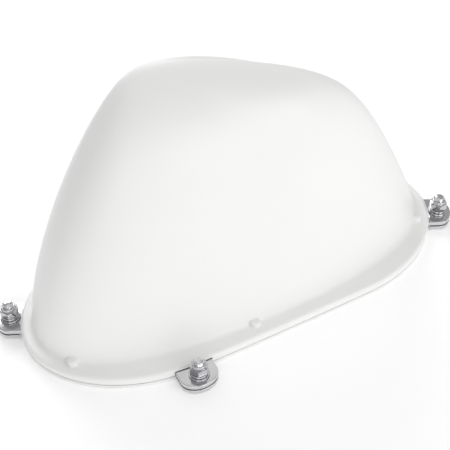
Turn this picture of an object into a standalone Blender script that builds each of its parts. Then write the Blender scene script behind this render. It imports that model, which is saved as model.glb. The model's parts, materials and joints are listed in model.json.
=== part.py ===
"""Satellite television radome antenna: an oval base tray, a one-piece hood, four bolted feet, and inside
them a motor-driven reflector that turns in azimuth, tilts in elevation and turns its receiver head (skew).

Frame: X along the tray, -Y towards the front face of the hood, +Z up, origin on the roof plane under the
tray's centre. Lengths are written in millimetres times MM, so every value in the scene is in metres.
"""

import math

import bmesh
import bpy
import numpy as np
from mathutils import Matrix, Vector

MM = 0.001

# ---- fits shared by every piece ------------------------------------------------------------------------
GAP = 0.3 * MM                   # clearance between two pieces that touch
RUNNING = 0.35 * MM              # clearance of a shaft in its hole

# ---- base tray -----------------------------------------------------------------------------------------
TRAY_LENGTH = 540 * MM
TRAY_WIDTH = 240 * MM
TRAY_END = 152 * MM              # length of each half-ellipse end
SIDE_BULGE = 0.038               # how much of the half width the long sides bow out
TRAY_FLOOR = 3.0 * MM
TRAY_RIM_TOP = 5.7 * MM
TRAY_RIM_WIDTH = 24 * MM
TRAY_EDGE = 1.5 * MM             # chamfer of the bottom edge
AROUND = 72                      # points around the tray and the hood

# ---- feet: roof plate with stud, pad, lug and their fasteners ------------------------------------------
PLATE_THICK = 5.5 * MM
PAD_THICK = 1.2 * MM
LUG_THICK = 5.5 * MM
LUG_WIDTH = 44.5 * MM
LUG_TIP = 16.8 * MM              # from the stud's centre to the tip of the lug
LUG_INSIDE = 9 * MM              # how far the lug reaches in under the hood's flange
SIDE_REACH = 12.6 * MM           # from the tray's wall to the stud's centre, on the long sides
END_REACH = 12.6 * MM            # the same on the rounded ends
SIDE_LUG_ALONG = 120 * MM        # where the side lugs stand, measured along the tray from its middle
END_LUG_TURN = math.radians(22)  # where the end lugs stand on the half-ellipse, from its tip
STUD_RADIUS = 6 * MM             # M12
WASHER_RADIUS = 12 * MM
WASHER_THICK = 2.5 * MM
SPRING_RADIUS = 10.5 * MM
SPRING_THICK = 3.0 * MM
NUT_FLATS = 19 * MM
NUT_HEIGHT = 9 * MM
NUT_COLLAR = 4.0 * MM            # height of the nylon-insert collar above the hexagon
NUT_COLLAR_RADIUS = 8.2 * MM
STUD_PROUD = 5.0 * MM            # how far the stud stands above the collar

# ---- hood ----------------------------------------------------------------------------------------------
HOOD_WALL = 2.7 * MM
FLANGE_TOP = 15.9 * MM
FLANGE_EDGE_TOP = 12.4 * MM
FLANGE_LAND = 6 * MM             # width of the flange's seat on the gasket
FOOT_END_INSET = 14 * MM         # the hood's wall stands this far inside the tray's ends
FOOT_SIDE_INSET = 19.8 * MM      # and this far inside its long sides
FOOT_HEIGHT = 16.5 * MM
FOOT_ROUND = 2.32                # superellipse power of the wall's foot
PEAK_LEFT = 81.4 * MM            # the peak stands left of the middle
PEAK_BACK = 48.6 * MM            # and behind it
PEAK_HEIGHT = 306.4 * MM         # height of the sharp peak, before it is rounded
PEAK_ROUND = 11.4 * MM
SHOULDER_HEIGHT = 265.3 * MM
SHOULDER_LEFT = 16.0 * MM        # how far the shoulder outline stands inside the foot on each side
SHOULDER_RIGHT = 90.4 * MM
SHOULDER_FRONT = 33.5 * MM
SHOULDER_BACK = 13.8 * MM
SHOULDER_SHIFT_X = -5.5 * MM
SHOULDER_SHIFT_Y = 9.3 * MM
SHOULDER_ROUND = 2.0
PULL_LEFT = 0.45                 # how strongly each side is drawn to its shoulder
PULL_RIGHT = 1.04
PULL_FRONT = 1.69
PULL_BACK = 0.30
PULL_FRONT_LEFT = -0.17          # added between the front and each end
PULL_FRONT_RIGHT = 2.93
WALL_ROWS = 12
BOSS_RADIUS = 6.5 * MM
BOSS_TOP = 21.8 * MM
BOSS_OUT = 2.5 * MM              # the screw boss's centre, outside the wall's foot
BOSS_END_TURN = math.radians(26)
BOSS_SIDE_TURN = math.radians(95)
SCREW_RADIUS = 2 * MM
SCREW_HEAD_RADIUS = 3.8 * MM
SCREW_HEAD = 2.2 * MM
SCREW_LENGTH = 17 * MM

# ---- azimuth drive -------------------------------------------------------------------------------------
TOOTH = 1.5 * MM                 # gear module of both main drives
AZIMUTH_TEETH = 72
AZIMUTH_PINION_TEETH = 12
AZIMUTH_GEAR_THICK = 6 * MM
SPINDLE_RADIUS = 8 * MM
BEARING_RADIUS = 32 * MM
BEARING_THICK = 3.2 * MM
RETAINER_RADIUS = 14 * MM
RETAINER_THICK = 2 * MM
AZIMUTH_MOTOR_RADIUS = 15 * MM
AZIMUTH_MOTOR_LENGTH = 22 * MM
MOTOR_PLATE = 3 * MM
MOTOR_SHAFT = 2.5 * MM
MOTOR_SHAFT_IN = 6 * MM          # how far a pinion's shaft reaches into its motor

# ---- yoke and elevation drive --------------------------------------------------------------------------
YOKE_PLATE = 3 * MM
YOKE_ARM = 4 * MM
YOKE_INNER = 32 * MM             # from the middle to the inner face of each arm
YOKE_FRONT = 14 * MM
YOKE_BACK = 62 * MM
ELEVATION_BACK = 30 * MM         # elevation axis, behind the azimuth axis
ELEVATION_HEIGHT = 112 * MM
ELEVATION_TEETH = 48             # of the full circle that the sector is cut from
SECTOR_TEETH = 9
ELEVATION_PINION_TEETH = 12
PINION_TURN = math.radians(-60)  # direction of the pinion seen from the elevation axis
SECTOR_THICK = 6 * MM
SHAFT_RADIUS = 4 * MM
BUSH_RADIUS = 6 * MM
BUSH_FLANGE = 8 * MM
BUSH_FLANGE_THICK = 1.2 * MM
ELEVATION_MOTOR_RADIUS = 14 * MM
ELEVATION_MOTOR_LENGTH = 18 * MM

# ---- reflector, feed arm and receiver head -------------------------------------------------------------
DISH_HALF_WIDTH = 110 * MM
DISH_HALF_HEIGHT = 75 * MM
DISH_FOCUS = 150 * MM
DISH_THICK = 2.2 * MM
DISH_FORWARD = 26 * MM           # the dish's middle, in front of the elevation axis
DISH_RISE = 18 * MM              # and above it
DISH_TILT = math.radians(10)     # of the dish's normal above the horizon at rest
HUB_RADIUS = 9 * MM
RIB_OUT = 12 * MM                # inner face of each rib, from the middle
RIB_THICK = 4 * MM
DISH_PLATE = 3 * MM
FEED_BAR = 5 * MM
FEED_HALF_WIDTH = 6 * MM
HEAD_DOWN = 48.9 * MM            # receiver head's neck, below the dish's middle along its plane
HEAD_OUT = 36.5 * MM             # and in front of the dish's plane
HEAD_AIM = math.radians(43.1)    # of the head's axis to the dish's plane
HEAD_RADIUS = 12 * MM
NECK_RADIUS = 8 * MM
HORN_RADIUS = 10.5 * MM
HEAD_FRONT = 13 * MM
HEAD_REAR = 20 * MM
PORT_LENGTH = 7 * MM
SKEW_TOOTH = 1.0 * MM
SKEW_TEETH = 32
SKEW_PINION_TEETH = 10
SKEW_GEAR_THICK = 4 * MM
HOLDER_THICK = 5 * MM
HOLDER_RADIUS = 14 * MM
HOLDER_DROP = 24 * MM
SKEW_MOTOR_RADIUS = 9.5 * MM
SKEW_MOTOR_LENGTH = 13 * MM

# ---- electronics and tray fittings ---------------------------------------------------------------------
BOARD_LEFT = 145 * MM            # centre of the control board, left of the middle
BOARD_LENGTH = 90 * MM
BOARD_WIDTH = 58 * MM
BOARD_THICK = 1.6 * MM
POST_HEIGHT = 6 * MM
POST_RADIUS = 3.5 * MM
SHIELD_LENGTH = 40 * MM
SHIELD_WIDTH = 34 * MM
SHIELD_HEIGHT = 9 * MM
SOCKET_RADIUS = 4 * MM
SOCKET_LENGTH = 12 * MM
GROMMET_RIGHT = 150 * MM
GROMMET_BORE = 7 * MM
GROMMET_HOLE = 9.4 * MM
VENT_RIGHT = 195 * MM
VENT_RADIUS = 4 * MM

STEEL = ("stainless_steel", (0.62, 0.62, 0.64), 0.25, 1.0)
PAINT = ("white_gloss_shell", (0.90, 0.90, 0.90), 0.35, 0.0)
TRAY_PAINT = ("white_tray", (0.88, 0.88, 0.88), 0.45, 0.0)
RUBBER = ("black_rubber", (0.03, 0.03, 0.03), 0.8, 0.0)
ZINC = ("zinc_plated_steel", (0.55, 0.56, 0.58), 0.35, 1.0)
ALLOY = ("aluminium_plate", (0.70, 0.71, 0.72), 0.4, 1.0)
MOTOR = ("motor_can", (0.12, 0.12, 0.13), 0.45, 0.6)
ACETAL = ("white_acetal", (0.80, 0.79, 0.75), 0.5, 0.0)
BRONZE = ("sintered_bronze", (0.45, 0.30, 0.14), 0.5, 1.0)
HEAD_CASE = ("grey_head_case", (0.45, 0.46, 0.47), 0.5, 0.0)
BOARD = ("green_circuit_board", (0.03, 0.18, 0.08), 0.5, 0.0)
BLACK_PLASTIC = ("black_plastic", (0.04, 0.04, 0.045), 0.5, 0.0)
DISH_PAINT = ("light_grey_dish", (0.66, 0.67, 0.68), 0.45, 0.0)

# ---- heights that follow from the sizes above ----------------------------------------------------------
PAD_LOW = PLATE_THICK + GAP
LUG_LOW = PAD_LOW + PAD_THICK + GAP
LUG_TOP = LUG_LOW + LUG_THICK
WASHER_LOW = LUG_TOP + GAP
SPRING_LOW = WASHER_LOW + WASHER_THICK + GAP
NUT_LOW = SPRING_LOW + SPRING_THICK + GAP
NUT_TOP = NUT_LOW + NUT_HEIGHT + NUT_COLLAR
GASKET_LOW = TRAY_RIM_TOP + GAP
FLANGE_LOW = LUG_LOW
GASKET_TOP = FLANGE_LOW - GAP
BEARING_LOW = TRAY_FLOOR + GAP
AZIMUTH_GEAR_LOW = BEARING_LOW + BEARING_THICK + GAP
YOKE_LOW = AZIMUTH_GEAR_LOW + AZIMUTH_GEAR_THICK + GAP
YOKE_TOP = YOKE_LOW + YOKE_PLATE
SPINDLE_TOP = YOKE_TOP + GAP
RETAINER_LOW = SPINDLE_TOP + GAP
MOTOR_PLATE_LOW = YOKE_TOP + 1 * MM
AZIMUTH_MOTOR_LOW = MOTOR_PLATE_LOW + MOTOR_PLATE + GAP


def clear_scene():
    for obj in list(bpy.data.objects):
        bpy.data.objects.remove(obj, do_unlink=True)


def material(spec):
    name, colour, roughness, metallic = spec
    found = bpy.data.materials.get(name)
    if found:
        return found
    made = bpy.data.materials.new(name)
    made.use_nodes = True
    shader = made.node_tree.nodes["Principled BSDF"]
    shader.inputs["Base Color"].default_value = (*colour, 1.0)
    shader.inputs["Roughness"].default_value = roughness
    shader.inputs["Metallic"].default_value = metallic
    return made


def add_object(name, shape, spec=None, pivot=None):
    """One closed mesh from (points, faces), with its faces pointing out; its origin is at its pivot."""
    points, faces = shape
    mesh = bpy.data.meshes.new(name)
    mesh.from_pydata([tuple(p) for p in points], [], faces)
    work = bmesh.new()
    work.from_mesh(mesh)
    bmesh.ops.recalc_face_normals(work, faces=work.faces)
    work.to_mesh(mesh)
    work.free()
    mesh.shade_smooth()
    mesh.set_sharp_from_angle(angle=math.radians(32))
    obj = bpy.data.objects.new(name, mesh)
    bpy.context.scene.collection.objects.link(obj)
    if spec:
        mesh.materials.append(material(spec))
    if pivot:
        mesh.transform(pivot.matrix_world.inverted())
        obj.parent = pivot
    return obj


def combine(obj, shape, operation):
    """A Boolean of the object with a helper solid, which stays in the file as a hidden wire."""
    helper = add_object(f"{obj.name}_{operation.lower()}_{len(obj.modifiers)}", shape)
    helper.hide_render = True
    helper.display_type = "WIRE"
    if obj.parent:
        helper.data.transform(obj.parent.matrix_world.inverted())
        helper.parent = obj.parent
    step = obj.modifiers.new(operation.title(), "BOOLEAN")
    step.operation = operation
    step.solver = "EXACT"
    step.object = helper


def cut(obj, shape):
    combine(obj, shape, "DIFFERENCE")


def weld(obj, shape):
    combine(obj, shape, "UNION")


def pivot_at(name, frame, parent=None):
    empty = bpy.data.objects.new(name, None)
    empty.empty_display_size = 0.03
    bpy.context.scene.collection.objects.link(empty)
    empty.parent = parent
    empty.matrix_world = frame
    bpy.context.view_layer.update()
    return empty


def prism(outline, low, high, frame=Matrix.Identity(4)):
    """An outline in the frame's XY plane carried from low to high along its Z."""
    count = len(outline)
    points = [frame @ Vector((x, y, z)) for z in (low, high) for x, y in outline]
    faces = [tuple(range(count)), tuple(range(count, 2 * count))]
    faces += [(i, (i + 1) % count, count + (i + 1) % count, count + i) for i in range(count)]
    return points, faces


def block(centre, size, frame=Matrix.Identity(4)):
    half_x, half_y, half_z = (s / 2 for s in size)
    x, y, z = centre
    outline = [(x - half_x, y - half_y), (x + half_x, y - half_y),
               (x + half_x, y + half_y), (x - half_x, y + half_y)]
    return prism(outline, z - half_z, z + half_z, frame)


def turned(profile, frame=Matrix.Identity(4), sides=24, ring=False):
    """(radius, height) points turned about the frame's Z; a point at radius 0 is one vertex on the axis."""
    points = []
    rows = []
    for radius, height in profile:
        start = len(points)
        if radius == 0:
            points.append(frame @ Vector((0, 0, height)))
            rows.append([start] * sides)
            continue
        for i in range(sides):
            turn = 2 * math.pi * i / sides
            points.append(frame @ Vector((radius * math.cos(turn), radius * math.sin(turn), height)))
        rows.append(list(range(start, start + sides)))
    faces = []
    pairs = list(zip(rows, rows[1:]))
    if ring:
        pairs.append((rows[-1], rows[0]))
    for lower, upper in pairs:
        for i in range(sides):
            k = (i + 1) % sides
            corners = dict.fromkeys((lower[i], lower[k], upper[k], upper[i]))
            if len(corners) > 2:
                faces.append(tuple(corners))
    return points, faces


def cylinder(radius, low, high, frame=Matrix.Identity(4), sides=24):
    return turned([(0, low), (radius, low), (radius, high), (0, high)], frame, sides)


def tube(inner, outer, low, high, frame=Matrix.Identity(4), sides=24):
    return turned([(inner, low), (outer, low), (outer, high), (inner, high)], frame, sides, ring=True)


def along_x(x, y, z):
    """A frame at (x, y, z) whose Z runs along world X and whose X runs along world Y."""
    columns = Matrix(((0, 0, 1, x), (1, 0, 0, y), (0, 1, 0, z), (0, 0, 0, 1)))
    return columns


def arc(centre, radius, start, stop, count):
    return [
        (centre[0] + radius * math.cos(start + (stop - start) * i / (count - 1)),
         centre[1] + radius * math.sin(start + (stop - start) * i / (count - 1)))
        for i in range(count)
    ]


def tooth_points(index, teeth, module, turn):
    """The four corners of one tooth: narrow at its tip, wide at its root, thinner than its gap."""
    pitch = 2 * math.pi / teeth
    radius = teeth * module / 2
    tip = radius + 0.8 * module
    root = radius - 1.1 * module
    middle = turn + index * pitch
    corners = ((root, -0.33), (tip, -0.11), (tip, 0.11), (root, 0.33))
    return [(r * math.cos(middle + a * pitch), r * math.sin(middle + a * pitch)) for r, a in corners]


def gear_outline(teeth, module, turn=0.0):
    outline = []
    for index in range(teeth):
        outline += tooth_points(index, teeth, module, turn)
    return outline


def sector_outline(teeth, count, module, middle, hub):
    """A gear sector: count teeth centred on the direction middle, narrowing to a round hub."""
    outline = []
    pitch = 2 * math.pi / teeth
    first = middle - (count - 1) / 2 * pitch
    for index in range(count):
        outline += tooth_points(index, teeth, module, first)
    half = count / 2 * pitch
    outline += arc((0, 0), hub, middle + half + 0.6, middle - half - 0.6 + 2 * math.pi, 14)
    return outline


def bar_outline(route, thick):
    """The outline of a bar of even thickness along a route of points, with mitred bends."""
    route = [Vector(p) for p in route]
    left = []
    right = []
    for i, point in enumerate(route):
        before = (point - route[i - 1]).normalized() if i else (route[1] - point).normalized()
        after = (route[i + 1] - point).normalized() if i + 1 < len(route) else before
        along = (before + after).normalized()
        side = Vector((-along.y, along.x)) * thick / 2 / max(0.5, along.dot(before))
        left.append(tuple(point + side))
        right.append(tuple(point - side))
    return left + right[::-1]


# ---- outlines of the tray and the hood -----------------------------------------------------------------
def tray_half_width(x, inset=0.0):
    """Half width of the tray at x: a bowed straight side, closed by a half ellipse at each end."""
    half = TRAY_LENGTH / 2 - inset
    straight = TRAY_LENGTH / 2 - TRAY_END
    past = np.clip((np.abs(x) - straight) / (TRAY_END - inset), 0, 1)
    return (TRAY_WIDTH / 2 - inset) * (1 - SIDE_BULGE * (x / half) ** 2) * np.sqrt(1 - past ** 2)


def turns():
    return np.linspace(0, 2 * math.pi, AROUND, endpoint=False)


def tray_outline(inset, turn=None):
    """Points around the tray, at the same turns as the hood's foot."""
    turn = turns() if turn is None else turn
    x = (TRAY_LENGTH / 2 - inset) * np.sign(np.cos(turn)) * np.abs(np.cos(turn)) ** (2 / FOOT_ROUND)
    y = np.sign(np.sin(turn)) * tray_half_width(x, inset)
    return np.stack([x, y], -1)


def superellipse(turn, left, right, front, back, power):
    x = np.sign(np.cos(turn)) * np.abs(np.cos(turn)) ** (2 / power)
    y = np.sign(np.sin(turn)) * np.abs(np.sin(turn)) ** (2 / power)
    return np.stack([np.where(x < 0, left, right) * x, np.where(y < 0, front, back) * y], -1)


def foot_outline(turn):
    long = TRAY_LENGTH / 2 - FOOT_END_INSET
    wide = TRAY_WIDTH / 2 - FOOT_SIDE_INSET
    return superellipse(turn, long, long, wide, wide, FOOT_ROUND)


def hood_surface(turn, rise):
    """The hood's outer wall. Each meridian is a conic from the foot to the peak, drawn towards a shoulder
    point; the sharp peak is then rounded by a hyperbola in height. Shape (rise, turn, xyz)."""
    long = TRAY_LENGTH / 2 - FOOT_END_INSET
    wide = TRAY_WIDTH / 2 - FOOT_SIDE_INSET
    foot = foot_outline(turn)
    shoulder = superellipse(turn, long - SHOULDER_LEFT, long - SHOULDER_RIGHT, wide - SHOULDER_FRONT,
                            wide - SHOULDER_BACK, SHOULDER_ROUND)
    shoulder = shoulder + np.array([SHOULDER_SHIFT_X, SHOULDER_SHIFT_Y])
    cosine, sine = np.cos(turn), np.sin(turn)
    front_end = np.where(cosine < 0, PULL_FRONT_LEFT, PULL_FRONT_RIGHT) * (sine < 0)
    pull = (np.where(cosine < 0, PULL_LEFT, PULL_RIGHT) * cosine ** 2
            + np.where(sine < 0, PULL_FRONT, PULL_BACK) * sine ** 2
            + front_end * (2 * cosine * sine) ** 2)[None, :, None]
    start = np.column_stack([foot, np.full(len(turn), FOOT_HEIGHT)])[None]
    middle = np.column_stack([shoulder, np.full(len(turn), SHOULDER_HEIGHT)])[None]
    peak = np.array([-PEAK_LEFT, PEAK_BACK, PEAK_HEIGHT])
    w = rise[:, None, None]
    parts = ((1 - w) ** 2, 2 * w * (1 - w) * pull, w ** 2)
    surface = (parts[0] * start + parts[1] * middle + parts[2] * peak) / sum(parts)
    surface[..., 2] = PEAK_HEIGHT - np.sqrt((PEAK_HEIGHT - surface[..., 2]) ** 2 + PEAK_ROUND ** 2)
    return surface


def offset_inwards(surface, distance):
    """The surface moved along its own normals, for the inner face of the wall."""
    around = np.roll(surface, -1, 1) - np.roll(surface, 1, 1)
    up = np.gradient(surface, axis=0)
    normal = np.cross(around, up)
    normal /= np.linalg.norm(normal, axis=-1, keepdims=True)
    return surface - normal * distance


def lofted(rings, first_tip=None, last_tip=None):
    """Rings of equal count joined in order; each end is closed by a tip point or, without one, by one face."""
    count = len(rings[0])
    points = [tuple(p) for ring in rings for p in ring]
    faces = []
    for row in range(len(rings) - 1):
        for i in range(count):
            k = (i + 1) % count
            faces.append((row * count + i, row * count + k, (row + 1) * count + k, (row + 1) * count + i))
    for start, tip in ((0, first_tip), ((len(rings) - 1) * count, last_tip)):
        if tip is None:
            faces.append(tuple(range(start, start + count)))
            continue
        points.append(tuple(tip))
        faces += [(start + i, start + (i + 1) % count, len(points) - 1) for i in range(count)]
    return points, faces


def at_height(outline, height):
    return np.column_stack([outline, np.full(len(outline), height)])


# ---- where things stand around the edge ----------------------------------------------------------------
def edge_frame(x, y, outward):
    """A frame on the roof plane whose Y points outwards."""
    y_axis = Vector((outward[0], outward[1], 0)).normalized()
    x_axis = y_axis.cross(Vector((0, 0, 1)))
    return Matrix(((x_axis.x, y_axis.x, 0, x), (x_axis.y, y_axis.y, 0, y), (0, 0, 1, 0), (0, 0, 0, 1)))


def lug_frames():
    """Name and frame of each foot; the frame's origin is the stud's centre. The pattern is point-symmetric."""
    along = SIDE_LUG_ALONG
    side = float(tray_half_width(-along))
    slope = (float(tray_half_width(-along + MM)) - float(tray_half_width(-along - MM))) / (2 * MM)
    outward = Vector((slope, -1)).normalized()
    stud = Vector((-along, -side)) + outward * SIDE_REACH
    tip = TRAY_LENGTH / 2 - TRAY_END
    cosine, sine = math.cos(END_LUG_TURN), math.sin(END_LUG_TURN)
    wall_x = tip + TRAY_END * cosine
    wall = Vector((wall_x, -float(tray_half_width(wall_x))))
    end_out = Vector((cosine / TRAY_END, -sine / (TRAY_WIDTH / 2))).normalized()
    end_stud = wall + end_out * END_REACH
    return [
        ("front", edge_frame(*stud, outward), SIDE_REACH),
        ("back", edge_frame(*-stud, -outward), SIDE_REACH),
        ("right", edge_frame(*end_stud, end_out), END_REACH),
        ("left", edge_frame(*-end_stud, -end_out), END_REACH),
    ]


def boss_centres():
    """Name and centre of each hood screw, just outside the foot of the hood's wall."""
    found = []
    turned_to = {
        "right_front": -BOSS_END_TURN, "right_back": BOSS_END_TURN, "left_back": math.pi - BOSS_END_TURN,
        "left_front": math.pi + BOSS_END_TURN, "front": -BOSS_SIDE_TURN, "back": math.pi - BOSS_SIDE_TURN,
    }
    for name, turn in turned_to.items():
        near = foot_outline(np.array([turn - 0.01, turn, turn + 0.01]))
        tangent = near[2] - near[0]
        outward = np.array([tangent[1], -tangent[0]]) / np.linalg.norm(tangent)
        found.append((name, near[1] + outward * BOSS_OUT))
    return found


# ---- shells --------------------------------------------------------------------------------------------
def make_tray():
    rings = [
        at_height(tray_outline(TRAY_EDGE), 0),
        at_height(tray_outline(0), TRAY_EDGE),
        at_height(tray_outline(0), TRAY_RIM_TOP),
        at_height(tray_outline(TRAY_RIM_WIDTH), TRAY_RIM_TOP),
        at_height(tray_outline(TRAY_RIM_WIDTH + 1 * MM), TRAY_FLOOR),
    ]
    tray = add_object("base_tray", lofted(rings), TRAY_PAINT)
    for _, (x, y) in boss_centres():
        frame = Matrix.Translation((x, y, 0))
        recess = SCREW_HEAD + 2 * GAP
        cut(tray, turned([(0, -MM), (SCREW_HEAD_RADIUS + GAP, -MM), (SCREW_HEAD_RADIUS + GAP, recess),
                          (SCREW_RADIUS + GAP, recess), (SCREW_RADIUS + GAP, TRAY_RIM_TOP + MM),
                          (0, TRAY_RIM_TOP + MM)], frame, 16))
    for sign_x in (-1, 1):
        for sign_y in (-1, 1):
            x = sign_x * (BOARD_LENGTH / 2 - 2 * POST_RADIUS) - BOARD_LEFT
            y = sign_y * (BOARD_WIDTH / 2 - 2 * POST_RADIUS)
            weld(tray, cylinder(POST_RADIUS, MM, TRAY_FLOOR + POST_HEIGHT, Matrix.Translation((x, y, 0)), 12))
    cut(tray, cylinder(GROMMET_HOLE, -MM, TRAY_FLOOR + MM, Matrix.Translation((GROMMET_RIGHT, 0, 0))))
    cut(tray, cylinder(VENT_RADIUS + GAP, -MM, TRAY_FLOOR + MM, Matrix.Translation((VENT_RIGHT, 0, 0)), 16))


def make_gasket():
    outer = tray_outline(1 * MM)
    inner = tray_outline(FLANGE_LAND - 0.5 * MM)
    rings = [at_height(inner, GASKET_LOW), at_height(outer, GASKET_LOW), at_height(outer, GASKET_TOP),
             at_height(inner, GASKET_TOP)]
    points, faces = lofted(rings + [rings[0]])
    add_object("perimeter_gasket", close_loop(points, faces, len(rings), len(outer)), RUBBER)


def close_loop(points, faces, rows, count):
    """Turns a loft whose last ring repeats its first into a closed ring of even count."""
    kept = points[:rows * count]
    limit = rows * count
    looped = [tuple(i % limit for i in face) for face in faces[:rows * count]]
    return kept, looped


def make_hood():
    turn = turns()
    rise = np.linspace(0, 1, WALL_ROWS + 1)[:-1]
    wall = hood_surface(turn, rise)
    inner = offset_inwards(wall, HOOD_WALL)
    edge = tray_outline(0)
    foot = foot_outline(turn)

    def between(share, height):
        return at_height(edge + (foot - edge) * share, height)

    under = FLANGE_TOP - HOOD_WALL
    outside = [at_height(edge, FLANGE_LOW), at_height(edge, FLANGE_EDGE_TOP),
               between(0.09, FLANGE_TOP - 1.4 * MM), between(0.26, FLANGE_TOP),
               between(0.8, FLANGE_TOP - 0.4 * MM)]
    inner_foot = inner[0][:, :2]
    inside = [at_height(inner_foot, under), at_height(tray_outline(HOOD_WALL + 0.6 * MM), under),
              at_height(tray_outline(FLANGE_LAND), FLANGE_LOW + 1.5 * MM),
              at_height(tray_outline(FLANGE_LAND), FLANGE_LOW)]
    peak = hood_surface(turn[:1], np.array([1.0]))[0, 0]
    outer_points, outer_faces = lofted(outside + list(wall), first_tip=(0, 0, 0), last_tip=peak)
    inner_points, inner_faces = lofted(inside[::-1] + list(inner[::1]), first_tip=(0, 0, 0),
                                       last_tip=peak - np.array([0, 0, HOOD_WALL]))
    hood = add_object("hood_shell", join_at_foot(outer_points, outer_faces, inner_points, inner_faces), PAINT)
    for _, (x, y) in boss_centres():
        frame = Matrix.Translation((x, y, 0))
        dome = [(0, BOSS_TOP), (0.6 * BOSS_RADIUS, BOSS_TOP - 0.4 * MM),
                (0.9 * BOSS_RADIUS, BOSS_TOP - 1.6 * MM),
                (BOSS_RADIUS, BOSS_TOP - 3.6 * MM), (BOSS_RADIUS, FLANGE_LOW), (0, FLANGE_LOW)]
        weld(hood, turned(dome, frame, 20))
        cut(hood, cylinder(SCREW_RADIUS + GAP, FLANGE_LOW - MM, SCREW_LENGTH + 2 * GAP, frame, 12))
    for _, frame, reach in lug_frames():
        high = LUG_TOP + 1.4 * MM
        deep = LUG_INSIDE + 1 * MM
        cut(hood, block((0, -reach, (FLANGE_LOW - MM + high) / 2),
                        (LUG_WIDTH + 1.2 * MM, 2 * deep, high - FLANGE_LOW + MM), frame))


def join_at_foot(outer_points, outer_faces, inner_points, inner_faces):
    """Two open-bottomed shells joined by a band around their first rings; the bottom tips are left out."""
    outer_points, outer_faces = without_first_tip(outer_points, outer_faces)
    inner_points, inner_faces = without_first_tip(inner_points, inner_faces)
    start = len(outer_points)
    faces = outer_faces + [tuple(start + i for i in face) for face in inner_faces]
    faces += [(i, (i + 1) % AROUND, start + (i + 1) % AROUND, start + i) for i in range(AROUND)]
    return outer_points + inner_points, faces


def without_first_tip(points, faces):
    tip = len(points) - 2
    kept = [face for face in faces if tip not in face]
    renumbered = [tuple(i - (i > tip) for i in face) for face in kept]
    return points[:tip] + points[tip + 1:], renumbered


def make_hood_screws():
    for name, (x, y) in boss_centres():
        profile = [(0, GAP), (SCREW_HEAD_RADIUS * 0.8, GAP), (SCREW_HEAD_RADIUS, GAP + 0.6 * MM),
                   (SCREW_HEAD_RADIUS, GAP + SCREW_HEAD), (SCREW_RADIUS, GAP + SCREW_HEAD),
                   (SCREW_RADIUS, SCREW_LENGTH - MM), (SCREW_RADIUS - MM, SCREW_LENGTH), (0, SCREW_LENGTH)]
        add_object(f"hood_screw_{name}", turned(profile, Matrix.Translation((x, y, 0)), 12), STEEL)


# ---- feet ----------------------------------------------------------------------------------------------
def lug_outline(inner_edge):
    """A straight-sided tongue whose outer end is a half ellipse around the stud; Y points outwards."""
    half = LUG_WIDTH / 2
    tip = [(half * math.cos(a), LUG_TIP * math.sin(a)) for a in np.linspace(0, math.pi, 17)]
    return [(-half, inner_edge), (half, inner_edge)] + tip


def make_feet():
    hole = STUD_RADIUS + RUNNING
    for name, frame, reach in lug_frames():
        plate_edge = -reach + 1 * MM
        plate = add_object(f"roof_plate_{name}", prism(lug_outline(plate_edge), 0, PLATE_THICK, frame), STEEL)
        top = NUT_TOP + STUD_PROUD
        weld(plate, turned([(0, PLATE_THICK - 2 * MM), (STUD_RADIUS, PLATE_THICK - 2 * MM),
                            (STUD_RADIUS, top - 2 * MM), (0.7 * STUD_RADIUS, top - 0.5 * MM),
                             (0, top)], frame, 20))
        pad = add_object(f"isolation_pad_{name}",
                         prism(lug_outline(plate_edge), PAD_LOW, PAD_LOW + PAD_THICK, frame), RUBBER)
        cut(pad, cylinder(hole, 0, LUG_LOW, frame, 20))
        lug = add_object(f"mounting_lug_{name}",
                         prism(lug_outline(-reach - LUG_INSIDE), LUG_LOW, LUG_TOP, frame), STEEL)
        cut(lug, cylinder(hole, PAD_LOW, LUG_TOP + MM, frame, 20))
        make_fasteners(name, frame)


def make_fasteners(name, frame):
    bore = STUD_RADIUS + RUNNING
    add_object(f"flat_washer_{name}",
               tube(bore, WASHER_RADIUS, WASHER_LOW, WASHER_LOW + WASHER_THICK, frame), STEEL)
    spring = add_object(f"spring_washer_{name}",
                        tube(bore, SPRING_RADIUS, SPRING_LOW, SPRING_LOW + SPRING_THICK, frame), STEEL)
    slit = Matrix.Rotation(math.radians(20), 4, "Y")
    cut(spring, block((SPRING_RADIUS * 0.8, 0, 0), (SPRING_RADIUS, 1.0 * MM, 8 * MM),
                      frame @ Matrix.Translation((0, 0, SPRING_LOW + SPRING_THICK / 2)) @ slit))
    corner = NUT_FLATS / math.sqrt(3)
    hexagon = arc((0, 0), corner, 0, 2 * math.pi, 7)[:-1]
    nut = add_object(f"lock_nut_{name}", prism(hexagon, NUT_LOW, NUT_LOW + NUT_HEIGHT, frame), STEEL)
    weld(nut, turned([(0, NUT_LOW + NUT_HEIGHT - MM), (NUT_COLLAR_RADIUS, NUT_LOW + NUT_HEIGHT - MM),
                      (NUT_COLLAR_RADIUS, NUT_TOP - 1 * MM),
                       (NUT_COLLAR_RADIUS - 1 * MM, NUT_TOP), (0, NUT_TOP)],
                     frame, 20))
    cut(nut, cylinder(bore, NUT_LOW - MM, NUT_TOP + MM, frame, 20))


# ---- azimuth drive -------------------------------------------------------------------------------------
def azimuth_pinion_x():
    return (AZIMUTH_TEETH + AZIMUTH_PINION_TEETH) * TOOTH / 2


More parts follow.
